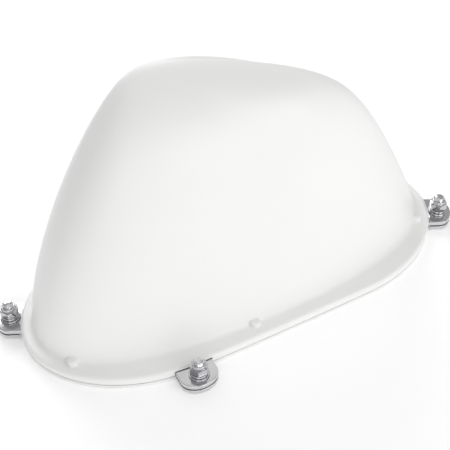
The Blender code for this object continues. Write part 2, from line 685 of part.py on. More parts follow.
def make_azimuth_base():
    add_object("azimuth_bearing", turned([
        (0, BEARING_LOW), (BEARING_RADIUS, BEARING_LOW), (BEARING_RADIUS, BEARING_LOW + BEARING_THICK),
        (SPINDLE_RADIUS, BEARING_LOW + BEARING_THICK), (SPINDLE_RADIUS, SPINDLE_TOP), (0, SPINDLE_TOP)]), ZINC)
    add_object("azimuth_retainer",
               cylinder(RETAINER_RADIUS, RETAINER_LOW, RETAINER_LOW + RETAINER_THICK), ZINC)
    x = azimuth_pinion_x()
    reach = AZIMUTH_MOTOR_RADIUS + 3 * MM
    bracket = add_object("azimuth_motor_bracket", block(
        (x + 2 * MM, 0, MOTOR_PLATE_LOW + MOTOR_PLATE / 2),
        (2 * reach, 2 * AZIMUTH_MOTOR_RADIUS, MOTOR_PLATE)), ALLOY)
    leg_high = MOTOR_PLATE_LOW + MOTOR_PLATE / 2
    leg_x = x + reach
    weld(bracket, block((leg_x, 0, (BEARING_LOW + leg_high) / 2),
                        (4 * MM, 2 * AZIMUTH_MOTOR_RADIUS, leg_high - BEARING_LOW)))
    weld(bracket, block((leg_x + 6 * MM, 0, BEARING_LOW + 1.5 * MM),
                        (16 * MM, 2 * AZIMUTH_MOTOR_RADIUS, 3 * MM)))
    cut(bracket, cylinder(2 * MOTOR_SHAFT, 0, AZIMUTH_MOTOR_LOW, Matrix.Translation((x, 0, 0)), 16))
    frame = Matrix.Translation((x, 0, 0))
    make_motor("azimuth_motor", AZIMUTH_MOTOR_RADIUS, AZIMUTH_MOTOR_LENGTH, frame, AZIMUTH_MOTOR_LOW, None)


def make_motor(name, radius, length, frame, low, pivot):
    """A round stepper can with a stepped rear cap and a blind hole in its face for the pinion's shaft."""
    profile = [(0, low), (radius, low), (radius, low + 0.8 * length), (0.9 * radius, low + 0.83 * length),
               (0.9 * radius, low + length), (0, low + length)]
    motor = add_object(name, turned(profile, frame, 20), MOTOR, pivot)
    cut(motor, cylinder(MOTOR_SHAFT + RUNNING, low - MM, low + MOTOR_SHAFT_IN + 2 * GAP, frame, 12))


def make_turntable(turret):
    gear = add_object("azimuth_gear", prism(gear_outline(AZIMUTH_TEETH, TOOTH), AZIMUTH_GEAR_LOW,
                                            AZIMUTH_GEAR_LOW + AZIMUTH_GEAR_THICK), ACETAL, turret)
    cut(gear, cylinder(SPINDLE_RADIUS + RUNNING, 0, YOKE_LOW + MM))


def make_azimuth_pinion():
    x = azimuth_pinion_x()
    frame = Matrix.Translation((x, 0, 0))
    pivot = pivot_at("azimuth_pinion_pivot", frame)
    gap_ahead = math.pi + math.pi / AZIMUTH_PINION_TEETH
    teeth = gear_outline(AZIMUTH_PINION_TEETH, TOOTH, gap_ahead)
    pinion = add_object("azimuth_pinion", prism(teeth, AZIMUTH_GEAR_LOW, AZIMUTH_GEAR_LOW + AZIMUTH_GEAR_THICK,
                                                frame), BRONZE, pivot)
    weld(pinion, cylinder(MOTOR_SHAFT, AZIMUTH_GEAR_LOW + MM, AZIMUTH_MOTOR_LOW + MOTOR_SHAFT_IN, frame, 12))


# ---- yoke and elevation drive --------------------------------------------------------------------------
def elevation_pinion_place():
    reach = (ELEVATION_TEETH + ELEVATION_PINION_TEETH) * TOOTH / 2
    return (ELEVATION_BACK + reach * math.cos(PINION_TURN), ELEVATION_HEIGHT + reach * math.sin(PINION_TURN))


def arm_outline():
    """Side view (y, z) of a yoke arm: wide at the turntable, out to the motor, round at the elevation axis."""
    motor_y, motor_z = elevation_pinion_place()
    outline = [(-YOKE_FRONT, YOKE_LOW), (YOKE_BACK, YOKE_LOW)]
    outline += arc((motor_y, motor_z), ELEVATION_MOTOR_RADIUS + 1 * MM, math.radians(-20), math.radians(35), 5)
    outline += arc((ELEVATION_BACK, ELEVATION_HEIGHT), 12 * MM, math.radians(25), math.radians(195), 10)
    return outline


def make_yoke(turret):
    outer = YOKE_INNER + YOKE_ARM
    depth = YOKE_FRONT + YOKE_BACK
    yoke = add_object("yoke_frame", block((0, (YOKE_BACK - YOKE_FRONT) / 2, YOKE_LOW + YOKE_PLATE / 2),
                                          (2 * outer - 1 * MM, depth, YOKE_PLATE)), ALLOY, turret)
    sideways = along_x(0, 0, 0)
    for low in (YOKE_INNER, -outer):
        weld(yoke, prism(arm_outline(), low, low + YOKE_ARM, sideways))
    axis = along_x(0, ELEVATION_BACK, ELEVATION_HEIGHT)
    cut(yoke, cylinder(BUSH_RADIUS + GAP, -outer - MM, outer + MM, axis))
    cut(yoke, cylinder(SPINDLE_RADIUS + RUNNING, 0, RETAINER_LOW))
    motor_y, motor_z = elevation_pinion_place()
    cut(yoke, cylinder(2 * MOTOR_SHAFT, 0, outer + MM, along_x(0, motor_y, motor_z), 16))
    window = [(-0.3 * YOKE_FRONT, YOKE_TOP + 14 * MM), (0.5 * YOKE_BACK, YOKE_TOP + 14 * MM),
              (0.42 * YOKE_BACK, 0.72 * ELEVATION_HEIGHT), (0.18 * YOKE_BACK, 0.72 * ELEVATION_HEIGHT)]
    cut(yoke, prism(window, -outer - MM, outer + MM, sideways))


def make_bushes(turret):
    outer = YOKE_INNER + YOKE_ARM
    inner = SHAFT_RADIUS + RUNNING
    for name, frame in (("right", along_x(0, ELEVATION_BACK, ELEVATION_HEIGHT)),
                        ("left", along_x(0, ELEVATION_BACK, ELEVATION_HEIGHT)
                         @ Matrix.Rotation(math.pi, 4, "Y"))):
        profile = [(inner, YOKE_INNER - GAP), (BUSH_RADIUS, YOKE_INNER - GAP), (BUSH_RADIUS, outer + GAP),
                   (BUSH_FLANGE, outer + GAP), (BUSH_FLANGE, outer + GAP + BUSH_FLANGE_THICK),
                   (inner, outer + GAP + BUSH_FLANGE_THICK)]
        add_object(f"elevation_bush_{name}", turned(profile, frame, 20, ring=True), BRONZE, turret)


def make_elevation_drive(turret, dish):
    axis = along_x(0, ELEVATION_BACK, ELEVATION_HEIGHT)
    end = YOKE_INNER + YOKE_ARM + 5 * MM
    add_object("elevation_shaft", turned([(0, -end), (SHAFT_RADIUS - 0.6 * MM, -end),
                                          (SHAFT_RADIUS, 0.6 * MM - end), (SHAFT_RADIUS, end - 0.6 * MM),
                                          (SHAFT_RADIUS - 0.6 * MM, end), (0, end)],
                                         axis, 20), STEEL, dish)
    low, high = sector_span()
    sector = add_object("elevation_sector", prism(sector_outline(
        ELEVATION_TEETH, SECTOR_TEETH, TOOTH, PINION_TURN, HUB_RADIUS + 3 * MM), low, high, axis), ACETAL, dish)
    cut(sector, cylinder(SHAFT_RADIUS + RUNNING, low - MM, high + MM, axis, 20))
    motor_y, motor_z = elevation_pinion_place()
    frame = along_x(0, motor_y, motor_z)
    outer = YOKE_INNER + YOKE_ARM + GAP
    make_motor("elevation_motor", ELEVATION_MOTOR_RADIUS, ELEVATION_MOTOR_LENGTH, frame, outer, turret)
    pivot = pivot_at("elevation_pinion_pivot", frame, turret)
    gap_back = PINION_TURN + math.pi + math.pi / ELEVATION_PINION_TEETH
    teeth = gear_outline(ELEVATION_PINION_TEETH, TOOTH, gap_back)
    pinion = add_object("elevation_pinion", prism(teeth, low, high, frame), BRONZE, pivot)
    weld(pinion, cylinder(MOTOR_SHAFT, low + MM, outer + MOTOR_SHAFT_IN, frame, 12))


def sector_span():
    low = YOKE_INNER - SECTOR_THICK - 5 * MM
    return low, low + SECTOR_THICK


# ---- reflector and what it carries ---------------------------------------------------------------------
def dish_frame():
    """At the dish's middle: X along world X, Y up along its plane, Z out along its normal."""
    cosine, sine = math.cos(DISH_TILT), math.sin(DISH_TILT)
    y = ELEVATION_BACK - DISH_FORWARD
    z = ELEVATION_HEIGHT + DISH_RISE
    return Matrix(((1, 0, 0, 0), (0, sine, -cosine, y), (0, cosine, sine, z), (0, 0, 0, 1)))


def in_side_view(frame):
    """A frame whose XY plane is the given frame's YZ plane and whose Z is its X."""
    return frame @ Matrix(((0, 0, 1, 0), (1, 0, 0, 0), (0, 1, 0, 0), (0, 0, 0, 1)))


def make_reflector(dish):
    """A paraboloid z = (x^2 + y^2) / 4f cut to an ellipse, with a back face one thickness behind."""
    frame = dish_frame()
    rings = []
    for share, behind in ((0.25, 0), (0.5, 0), (0.75, 0), (1, 0), (1, 1), (0.75, 1), (0.5, 1), (0.25, 1)):
        turn = np.linspace(0, 2 * math.pi, 36, endpoint=False)
        x = DISH_HALF_WIDTH * share * np.cos(turn)
        y = DISH_HALF_HEIGHT * share * np.sin(turn)
        z = (x ** 2 + y ** 2) / (4 * DISH_FOCUS) - behind * DISH_THICK
        rings.append([frame @ Vector(p) for p in zip(x, y, z)])
    tips = [frame @ Vector((0, 0, 0)), frame @ Vector((0, 0, -DISH_THICK))]
    add_object("reflector", lofted(rings, first_tip=tips[0], last_tip=tips[1]), DISH_PAINT, dish)


def make_dish_bracket(dish):
    frame = dish_frame()
    side = in_side_view(frame)
    axis = along_x(0, ELEVATION_BACK, ELEVATION_HEIGHT)
    hub = frame.inverted() @ Vector((0, ELEVATION_BACK, ELEVATION_HEIGHT))
    front = -DISH_THICK - GAP
    low, _ = sector_span()
    plate = block((0, -5 * MM, front - DISH_PLATE / 2), (44 * MM, 60 * MM, DISH_PLATE), frame)
    bracket = add_object("dish_bracket", plate, ALLOY, dish)
    rib = [(-30 * MM, front - DISH_PLATE / 2), (hub.y - 0.7 * HUB_RADIUS, hub.z),
           (hub.y + 0.7 * HUB_RADIUS, hub.z), (15 * MM, front - DISH_PLATE / 2)]
    for start in (RIB_OUT, -RIB_OUT - RIB_THICK):
        weld(bracket, prism(rib, start, start + RIB_THICK, side))
    weld(bracket, cylinder(HUB_RADIUS, 1 * MM - YOKE_INNER, low - GAP, axis, 20))
    cut(bracket, cylinder(SHAFT_RADIUS + RUNNING, -YOKE_INNER, YOKE_INNER, axis, 20))


def head_frame():
    """At the receiver's neck: X along world X, Z along its axis towards the dish, Y down to the feed arm."""
    frame = dish_frame()
    cosine, sine = math.cos(HEAD_AIM), math.sin(HEAD_AIM)
    local = Matrix(((1, 0, 0, 0), (0, -sine, cosine, -HEAD_DOWN), (0, -cosine, -sine, HEAD_OUT), (0, 0, 0, 1)))
    return frame @ local


def make_feed_arm(dish):
    """A flat bar from the back of the dish bracket, down behind the dish and up to the holder."""
    frame = dish_frame()
    to_dish = frame.inverted() @ head_frame()
    behind = -DISH_THICK - DISH_PLATE - 2 * GAP - FEED_BAR / 2
    below = -DISH_HALF_HEIGHT - 13 * MM
    seat = HOLDER_DROP + GAP + FEED_BAR / 2
    near = to_dish @ Vector((0, seat, 4 * MM))
    far = to_dish @ Vector((0, seat, -9 * MM))
    route = [(-8 * MM, behind), (0.82 * below, behind), (0.93 * below, behind + 2.5 * MM),
             (below, behind + 9 * MM),
             (below, 0.35 * far.z), (0.95 * below, 0.75 * far.z), (far.y, far.z), (near.y, near.z)]
    add_object("feed_arm", prism(bar_outline(route, FEED_BAR), -FEED_HALF_WIDTH, FEED_HALF_WIDTH,
                                 in_side_view(frame)), ALLOY, dish)


def make_head_holder(dish):
    frame = head_frame()
    x = skew_pinion_x()
    around_motor = arc((x, 0), SKEW_MOTOR_RADIUS, -math.pi / 2, math.pi / 2, 9)
    foot = [(9 * MM, 12 * MM), (8 * MM, HOLDER_DROP), (-8 * MM, HOLDER_DROP)]
    around_neck = arc((0, 0), HOLDER_RADIUS, math.radians(125), math.radians(270), 13)
    holder = add_object("head_holder", prism(around_motor + foot + around_neck, 0, HOLDER_THICK, frame),
                        ALLOY, dish)
    at_pinion = frame @ Matrix.Translation((x, 0, 0))
    cut(holder, cylinder(NECK_RADIUS + RUNNING, -MM, HOLDER_THICK + MM, frame))
    cut(holder, cylinder(MOTOR_SHAFT + 1 * MM, -MM, HOLDER_THICK + MM, at_pinion, 12))
    make_motor("skew_motor", SKEW_MOTOR_RADIUS, SKEW_MOTOR_LENGTH, at_pinion, HOLDER_THICK + GAP, dish)
    pivot = pivot_at("skew_pinion_pivot", at_pinion, dish)
    low = -GAP - 0.5 * MM - SKEW_GEAR_THICK
    gap_inwards = math.pi + math.pi / SKEW_PINION_TEETH
    pinion = add_object("skew_pinion", prism(gear_outline(SKEW_PINION_TEETH, SKEW_TOOTH, gap_inwards), low,
                                             low + SKEW_GEAR_THICK, at_pinion), BRONZE, pivot)
    weld(pinion, cylinder(MOTOR_SHAFT, low + MM, HOLDER_THICK + GAP + MOTOR_SHAFT_IN, at_pinion, 12))


def skew_pinion_x():
    return (SKEW_TEETH + SKEW_PINION_TEETH) * SKEW_TOOTH / 2


def make_head(head):
    frame = head_frame()
    neck_low = -GAP - 1 * MM - SKEW_GEAR_THICK
    neck_high = HOLDER_THICK + 1 * MM
    body = add_object("receiver_head", turned([
        (0, -HEAD_REAR), (HEAD_RADIUS - MM, -HEAD_REAR), (HEAD_RADIUS, MM - HEAD_REAR),
        (HEAD_RADIUS, neck_low - GAP), (NECK_RADIUS, neck_low - GAP), (NECK_RADIUS, neck_high),
        (HORN_RADIUS, neck_high + MM), (HORN_RADIUS, HEAD_FRONT), (0.6 * HORN_RADIUS, HEAD_FRONT + 1.6 * MM),
        (0, HEAD_FRONT + 2 * MM)], frame, 28), HEAD_CASE, head)
    weld(body, cylinder(SOCKET_RADIUS, -HEAD_REAR - PORT_LENGTH, MM - HEAD_REAR,
                        frame @ Matrix.Translation((0, -5 * MM, 0)), 12))
    low = -GAP - 0.5 * MM - SKEW_GEAR_THICK
    teeth = gear_outline(SKEW_TEETH, SKEW_TOOTH)
    gear = add_object("skew_gear", prism(teeth, low, low + SKEW_GEAR_THICK, frame),
                      ACETAL, head)
    cut(gear, cylinder(NECK_RADIUS + RUNNING, low - MM, low + SKEW_GEAR_THICK + MM, frame))


# ---- electronics and tray fittings ---------------------------------------------------------------------
def make_electronics():
    middle = -BOARD_LEFT
    board_low = TRAY_FLOOR + POST_HEIGHT + GAP
    add_object("control_board", block((middle, 0, board_low + BOARD_THICK / 2), (
        BOARD_LENGTH, BOARD_WIDTH, BOARD_THICK)), BOARD)
    shield_low = board_low + BOARD_THICK + GAP
    shield_x = middle - BOARD_LENGTH / 2 + 0.6 * SHIELD_LENGTH
    add_object("tuner_shield", block((shield_x, 0, shield_low + SHIELD_HEIGHT / 2),
                                     (SHIELD_LENGTH, SHIELD_WIDTH, SHIELD_HEIGHT)), ZINC)
    socket_x = shield_x + SHIELD_LENGTH / 2 + GAP
    for number, sign in ((1, -1), (2, 1)):
        frame = along_x(socket_x, sign * SHIELD_WIDTH / 4, shield_low + SHIELD_HEIGHT / 2)
        add_object(f"coax_socket_{number}", turned([
            (0, 0), (SOCKET_RADIUS, 0), (SOCKET_RADIUS, SOCKET_LENGTH), (0.25 * SOCKET_RADIUS, SOCKET_LENGTH),
            (0.25 * SOCKET_RADIUS, 0.5 * SOCKET_LENGTH), (0, 0.5 * SOCKET_LENGTH)], frame, 12), ZINC)


def make_tray_fittings():
    outer = GROMMET_HOLE - GAP
    add_object("cable_grommet", turned([
        (GROMMET_BORE, GAP), (outer, GAP), (outer, TRAY_FLOOR + GAP), (outer + 3 * MM, TRAY_FLOOR + GAP),
        (outer + 3 * MM, TRAY_FLOOR + 2.5 * MM), (GROMMET_BORE, TRAY_FLOOR + 2.5 * MM)],
        Matrix.Translation((GROMMET_RIGHT, 0, 0)), ring=True), RUBBER)
    add_object("vent_plug", turned([
        (0, GAP), (VENT_RADIUS, GAP), (VENT_RADIUS, TRAY_FLOOR + GAP), (VENT_RADIUS + 3 * MM, TRAY_FLOOR + GAP),
        (VENT_RADIUS + 3 * MM, TRAY_FLOOR + 2.5 * MM), (0, TRAY_FLOOR + 3 * MM)],
        Matrix.Translation((VENT_RIGHT, 0, 0)), 16), BLACK_PLASTIC)


def main():
    clear_scene()
    turret = pivot_at("azimuth_pivot", Matrix.Identity(4))
    dish = pivot_at("elevation_pivot", Matrix.Translation((0, ELEVATION_BACK, ELEVATION_HEIGHT)), turret)
    head = pivot_at("skew_pivot", head_frame(), dish)
    make_tray()
    make_gasket()
    make_hood()
    make_hood_screws()
    make_feet()
    make_azimuth_base()
    make_turntable(turret)
    make_azimuth_pinion()
    make_yoke(turret)
    make_bushes(turret)
    make_elevation_drive(turret, dish)
    make_reflector(dish)
    make_dish_bracket(dish)
    make_feed_arm(dish)
    make_head_holder(dish)
    make_head(head)
    make_electronics()
    make_tray_fittings()


main()
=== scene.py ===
"""Looks of the satellite antenna dome: painted hood and tray, stainless feet, finishes of the inner pieces."""

import json
import math

import bpy
import numpy as np
from mathutils import Matrix, Vector


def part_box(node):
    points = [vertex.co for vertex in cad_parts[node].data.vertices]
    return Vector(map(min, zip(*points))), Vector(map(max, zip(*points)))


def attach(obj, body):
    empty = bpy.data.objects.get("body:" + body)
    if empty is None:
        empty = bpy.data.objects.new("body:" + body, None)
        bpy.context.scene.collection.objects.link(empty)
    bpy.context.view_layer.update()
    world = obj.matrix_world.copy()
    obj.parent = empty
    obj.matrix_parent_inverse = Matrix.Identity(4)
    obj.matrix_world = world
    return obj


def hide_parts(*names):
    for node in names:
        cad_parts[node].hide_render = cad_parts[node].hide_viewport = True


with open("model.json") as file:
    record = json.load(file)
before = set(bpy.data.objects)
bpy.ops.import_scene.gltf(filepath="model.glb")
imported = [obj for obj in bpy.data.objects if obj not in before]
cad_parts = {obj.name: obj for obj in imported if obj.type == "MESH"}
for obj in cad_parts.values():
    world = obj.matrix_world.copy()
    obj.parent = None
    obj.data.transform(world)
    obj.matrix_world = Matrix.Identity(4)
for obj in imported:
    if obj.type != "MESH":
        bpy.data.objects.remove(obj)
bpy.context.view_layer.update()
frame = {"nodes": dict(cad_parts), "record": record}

MM = 0.001

# Sizes of the moulding and the feet, in metres, as the part has them.
HALF_LENGTH, HALF_WIDTH, END_LENGTH, SIDE_BULGE = 270 * MM, 120 * MM, 152 * MM, 0.038
FOOT_LENGTH, FOOT_WIDTH, FOOT_HEIGHT, FOOT_POWER = 256 * MM, 100.2 * MM, 16.5 * MM, 2.32
SHOULDER = (240.0 * MM, 165.6 * MM, 66.7 * MM, 86.4 * MM)  # left, right, front, back
SHOULDER_HEIGHT, SHOULDER_SHIFT, SHOULDER_POWER = 265.3 * MM, np.array([-5.5 * MM, 9.3 * MM]), 2.0
PULL = (0.45, 1.04, 1.69, 0.30, -0.17, 2.93)  # left, right, front, back, front left, front right
PEAK, PEAK_ROUND = np.array([-81.4 * MM, 48.6 * MM, 306.4 * MM]), 11.4 * MM
WALL = 2.7 * MM
FLANGE_LOW, FLANGE_TOP, FLANGE_ROUND, FLANGE_LAND = 7.3 * MM, 15.9 * MM, 3.8 * MM, 6 * MM
PLATE_TOP, PAD_LOW, PAD_TOP, LUG_LOW, LUG_TOP = 5.5 * MM, 5.8 * MM, 7.0 * MM, 7.3 * MM, 12.8 * MM
LUG_HALF, LUG_TIP, LUG_INSIDE, REACH = 22.2 * MM, 16.7 * MM, 9 * MM, 12.6 * MM
STUD_RADIUS, WASHER_RADIUS, SPRING_RADIUS = 6 * MM, 12 * MM, 10.5 * MM
WASHER_LOW, WASHER_THICK, SPRING_THICK = 13.1 * MM, 2.5 * MM, 3 * MM
SPRING_LOW = WASHER_LOW + WASHER_THICK + 0.3 * MM
NUT_LOW = SPRING_LOW + SPRING_THICK + 0.3 * MM
NUT_HALF, NUT_HEX, NUT_COLLAR, COLLAR_RADIUS = 9.5 * MM, 9 * MM, 4 * MM, 8.2 * MM
STUD_TOP = NUT_LOW + NUT_HEX + NUT_COLLAR + 5 * MM
BORE = STUD_RADIUS + 0.35 * MM
FEET = ("front", "back", "right", "left")

# Slots in the flange in front of the lugs, and how the hood is sampled.
SLOT_SIDE, SLOT_REACH, SLOT_ABOVE = 0.6 * MM, 40 * MM, 1.3 * MM
SHELF_END, FILLET_RISE, LEAST_STEP = 7.0 * MM, 7.0 * MM, 0.02 * MM
HOOD_TURNS, TRAY_TURNS, RISE_SAMPLES = 470, 420, 400

# Posts over the hood screws.
BOSS_RADIUS, BOSS_TOP, BOSS_ROUND, BOSS_FLARE, BOSS_FOOT = 6.4 * MM, 21.7 * MM, 2.6 * MM, 2.0 * MM, 15.6 * MM

# Details of the fasteners: stud tip, nut chamfer and collar lip, rise of the split washer.
TIP_HEIGHT, TIP_STEP, THREAD_FADE = 1.5 * MM, 0.5 * MM, 1.2 * MM
NUT_FACE, NUT_LIP, SPLIT_RISE = 0.97, 1.3 * MM, 0.35 * MM

# Camera, lights and floor. Positions and sizes are in metres, powers in watts.
LENS_MM, SENSOR_MM, LENS_SHIFT = 80, 36, (-0.0218, 0.096)
EYE_DIRECTION, EYE_DISTANCE = (-0.3428, -0.6045, 0.7191), 1.228
LIGHTS_AIM = (0, 0, 0.12)
LIGHTS = (  # name, position, width and height, power
    ("key", (0.55, -1.7, 0.9), (1.6, 1.2), 11.6),
    ("front_left", (-1.0, -1.6, 1.0), (1.2, 1.2), 6.4),
    ("right", (1.8, -0.3, 0.8), (1.2, 1.2), 1.6),
    ("top", (0.0, 0.2, 2.2), (1.6, 1.2), 2.6),
    ("back", (0.2, 1.9, 1.2), (1.6, 1.2), 24),
)
SKY_STRENGTH, SKY_HORIZON, SKY_WHITE_FROM = 0.45, 0.75, 0.45
FLOOR_HALF, FLOOR_Z, FLOOR_GLOW = 6, -0.0005, 0.2


# ---- meshes --------------------------------------------------------------------------------------
def linked(name, data):
    """A new object in the scene that carries the data."""
    made = bpy.data.objects.new(name, data)
    bpy.context.scene.collection.objects.link(made)
    return made


def mesh_piece(name, points, quads, finish, body, nodes=(), slot=None, sharp=35):
    """One object from arrays of points and four-cornered faces, riding on a body."""
    mesh = bpy.data.meshes.new(name)
    mesh.vertices.add(len(points))
    mesh.vertices.foreach_set("co", np.asarray(points, np.float32).ravel())
    quads = np.asarray(quads, np.int32)
    mesh.loops.add(quads.size)
    mesh.loops.foreach_set("vertex_index", quads.ravel())
    mesh.polygons.add(len(quads))
    mesh.polygons.foreach_set("loop_start", np.arange(0, quads.size, quads.shape[1], dtype=np.int32))
    mesh.update(calc_edges=True)
    mesh.validate()
    mesh.shade_smooth()
    mesh.set_sharp_from_angle(angle=math.radians(sharp))
    mesh.materials.append(finish)
    piece = linked(name, mesh)
    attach(piece, body)
    if nodes:
        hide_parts(*nodes)
    return piece


def grid_quads(rows, columns, wrap_rows=False, wrap_columns=True):
    """Faces of a grid numbered row by row; each face is (i, j), (i, j+1), (i+1, j+1), (i+1, j)."""
    i = np.arange(rows if wrap_rows else rows - 1)
    j = np.arange(columns if wrap_columns else columns - 1)
    i, j = np.meshgrid(i, j, indexing="ij")
    below, beside = (i + 1) % rows, (j + 1) % columns
    corners = (i * columns + j, i * columns + beside, below * columns + beside, below * columns + j)
    return np.stack([c.ravel() for c in corners], -1)


def turned(profile, turns=64, phase=0.0):
    """A profile of (radius, height) carried around Z: x = r cos a, y = r sin a. Its outside runs upwards."""
    profile = np.asarray(profile, float)
    angle = phase + np.linspace(0, 2 * math.pi, turns, endpoint=False)
    r, z = profile[:, :1], profile[:, 1:]
    points = np.stack([r * np.cos(angle), r * np.sin(angle), z + 0 * angle], -1)
    return points.reshape(-1, 3), grid_quads(len(profile), turns)


def rounded_ring(inner, outer, low, high, edge, steps=4):
    """Closed profile of a ring with its four edges rounded by quarter circles of radius edge."""
    t = np.linspace(0, math.pi / 2, steps)
    corners = ((outer - edge, low + edge, -1, t), (outer - edge, high - edge, 0, t),
               (inner + edge, high - edge, 1, t), (inner + edge, low + edge, 2, t))
    parts = [np.stack([x + edge * np.cos(a + k * math.pi / 2), z + edge * np.sin(a + k * math.pi / 2)], -1)
             for x, z, k, a in corners]
    return np.concatenate(parts)


def ring_piece(profile, turns=64):
    """A closed profile carried around Z."""
    return turned(profile, turns)[0], grid_quads(len(profile), turns, wrap_rows=True)


def join(*parts):
    """Several (points, quads) pairs as one."""
    offset, points, quads = 0, [], []
    for p, q in parts:
        points.append(p)
        quads.append(np.asarray(q) + offset)
        offset += len(p)
    return np.concatenate(points), np.concatenate(quads)


def placed(shape, matrix):
    """The same shape moved by a 4 x 4 matrix: p' = R p + t."""
    points, quads = shape
    m = np.array(matrix, float)
    return points @ m[:3, :3].T + m[:3, 3], quads


# ---- the hood and the tray -----------------------------------------------------------------------
def level(outline, height):
    """An outline in the plane at one height."""
    return np.column_stack([outline, np.full(len(outline), height)])


def upright(low, high):
    """Moves the origin to the middle of a box in plan."""
    return Matrix.Translation(((low.x + high.x) / 2, (low.y + high.y) / 2, 0))


def signed_power(value, power):
    """sgn(v) |v|^(2/n), the term of a superellipse of power n."""
    return np.sign(value) * np.abs(value) ** (2 / power)


def tray_outline(turn, inset=0.0):
    """Bowed sides and half-ellipse ends: y = w (1 - b (x/l)^2) sqrt(1 - max(0, (|x| - s) / e)^2)."""
    half, wide = HALF_LENGTH - inset, HALF_WIDTH - inset
    x = half * signed_power(np.cos(turn), FOOT_POWER)
    past = np.clip((np.abs(x) - (HALF_LENGTH - END_LENGTH)) / (END_LENGTH - inset), 0, 1)
    y = np.sign(np.sin(turn)) * wide * (1 - SIDE_BULGE * (x / half) ** 2) * np.sqrt(1 - past ** 2)
    return np.stack([x, y], -1)


def foot_outline(turn):
    """Superellipse x = a sgn(c) |c|^(2/n), y = b sgn(s) |s|^(2/n)."""
    return np.stack([FOOT_LENGTH * signed_power(np.cos(turn), FOOT_POWER),
                     FOOT_WIDTH * signed_power(np.sin(turn), FOOT_POWER)], -1)


def hood_wall(turn, rise):
    """Conic meridians from the foot F over the shoulder S, pulled to it by k, to the peak T:
    P = ((1-w)^2 F + 2w(1-w) k S + w^2 T) / ((1-w)^2 + 2w(1-w) k + w^2).
    Then z = T - sqrt((T - z)^2 + r^2) rounds the crown."""
    c, s = np.cos(turn), np.sin(turn)
    left, right, front, back = SHOULDER
    shoulder = np.stack([np.where(c < 0, left, right) * signed_power(c, SHOULDER_POWER),
                         np.where(s < 0, front, back) * signed_power(s, SHOULDER_POWER)], -1) + SHOULDER_SHIFT
    pull = (np.where(c < 0, PULL[0], PULL[1]) * c ** 2 + np.where(s < 0, PULL[2], PULL[3]) * s ** 2
            + np.where(c < 0, PULL[4], PULL[5]) * (s < 0) * (2 * c * s) ** 2)[None, :, None]
    foot = level(foot_outline(turn), FOOT_HEIGHT)[None]
    middle = level(shoulder, SHOULDER_HEIGHT)[None]
    w = np.broadcast_to(rise, (len(rise), len(turn)))[..., None]
    share = ((1 - w) ** 2, 2 * w * (1 - w) * pull, w ** 2)
    wall = (share[0] * foot + share[1] * middle + share[2] * PEAK) / sum(share)
    wall[..., 2] = PEAK[2] - np.sqrt((PEAK[2] - wall[..., 2]) ** 2 + PEAK_ROUND ** 2)
    return wall


def surface_normals(surface):
    """Unit normals of a grid from the cross product of its two differences."""
    around = np.roll(surface, -1, 1) - np.roll(surface, 1, 1)
    up = np.gradient(surface, axis=0)
    normal = np.cross(around, up)
    return normal / (np.linalg.norm(normal, axis=-1, keepdims=True) + 1e-15)


def foot_frames():
    """Name and matrix of each foot: its origin is under the stud and its Y points outwards."""
    found = {}
    for mount in frame["record"]["mounts"]:
        name = mount["name"].replace("roof_face_", "")
        if name not in FEET:
            continue
        x, y, _ = mount["pos_m"]
        turn = np.linspace(0, 2 * math.pi, 20000, endpoint=False)
        edge = tray_outline(turn)
        nearest = int(np.argmin(np.hypot(edge[:, 0] - x, edge[:, 1] - y)))
        out = Vector((x - edge[nearest, 0], y - edge[nearest, 1], 0)).normalized()
        side = out.cross(Vector((0, 0, 1)))
        matrix = Matrix(((side.x, out.x, 0, x), (side.y, out.y, 0, y), (0, 0, 1, 0), (0, 0, 0, 1)))
        found[name] = matrix
    return found


def slot_mask(points_xy, feet):
    """1 where the flange stands in front of a lug, 0 elsewhere."""
    inside = np.zeros(len(points_xy), bool)
    for matrix in feet.values():
        m = np.array(matrix)
        local = (points_xy - m[:2, 3]) @ m[:2, :2]
        inside |= (np.abs(local[:, 0]) < LUG_HALF + SLOT_SIDE) & (np.abs(local[:, 1]) < SLOT_REACH)
    return inside


def turns_around(count, feet):
    """Even turns, with a close pair at each side of each slot so that its edges are upright."""
    turn = np.linspace(0, 2 * math.pi, count, endpoint=False)
    fine = np.linspace(0, 2 * math.pi, 400000, endpoint=False)
    inside = slot_mask(tray_outline(fine), feet)
    steps = fine[np.flatnonzero(inside != np.roll(inside, 1))]
    extra = np.concatenate([steps - 3e-5, steps + 3e-5])
    near = np.min(np.abs(turn[:, None] - steps[None]), 1) < 0.3 * 2 * math.pi / count
    return np.sort(np.concatenate([turn[~near], extra]) % (2 * math.pi))


